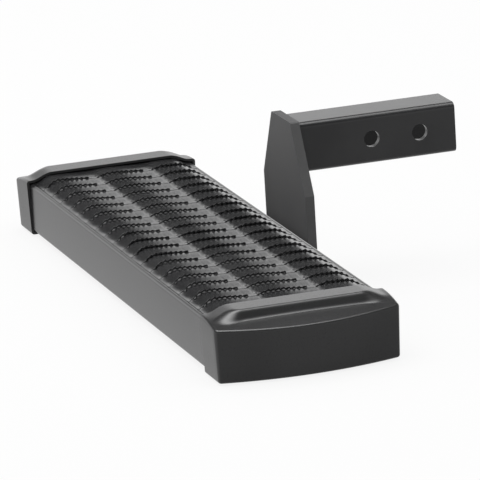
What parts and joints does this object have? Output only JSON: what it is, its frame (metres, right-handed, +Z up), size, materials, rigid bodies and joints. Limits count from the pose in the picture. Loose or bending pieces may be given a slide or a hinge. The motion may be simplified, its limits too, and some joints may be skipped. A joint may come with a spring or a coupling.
{
  "type": "hitch receiver step",
  "caption": "Receiver hitch step: a square shank with pin holes, a drop plate and a serrated channel tread closed by moulded end caps.",
  "frame": {"origin": "centre of the inner hitch pin hole, on the axis of the shank", "axes": "+X along the shank towards its tip, +Y along the step, +Z up"},
  "size_m": [0.3557, 0.695, 0.1693],
  "materials": {
    "powder_coat": "satin black powder coat",
    "cap_plastic": "matte black moulded plastic",
    "plated_steel": "zinc plated fasteners"
  },
  "bodies": {
    "root": {"shank_tube": "powder_coat", "riser_plate": "powder_coat", "step_plank": "powder_coat", "inner_bracket": "powder_coat", "end_cap_front": "cap_plastic", "end_cap_rear": "cap_plastic", "riser_bolt_1": "plated_steel", "riser_nut_1": "plated_steel", "riser_bolt_2": "plated_steel", "riser_nut_2": "plated_steel", "riser_bolt_3": "plated_steel", "riser_nut_3": "plated_steel", "riser_bolt_4": "plated_steel", "riser_nut_4": "plated_steel", "foot_bolt_1": "plated_steel", "foot_nut_1": "plated_steel", "foot_bolt_2": "plated_steel", "foot_nut_2": "plated_steel"}
  },
  "joints": []
}
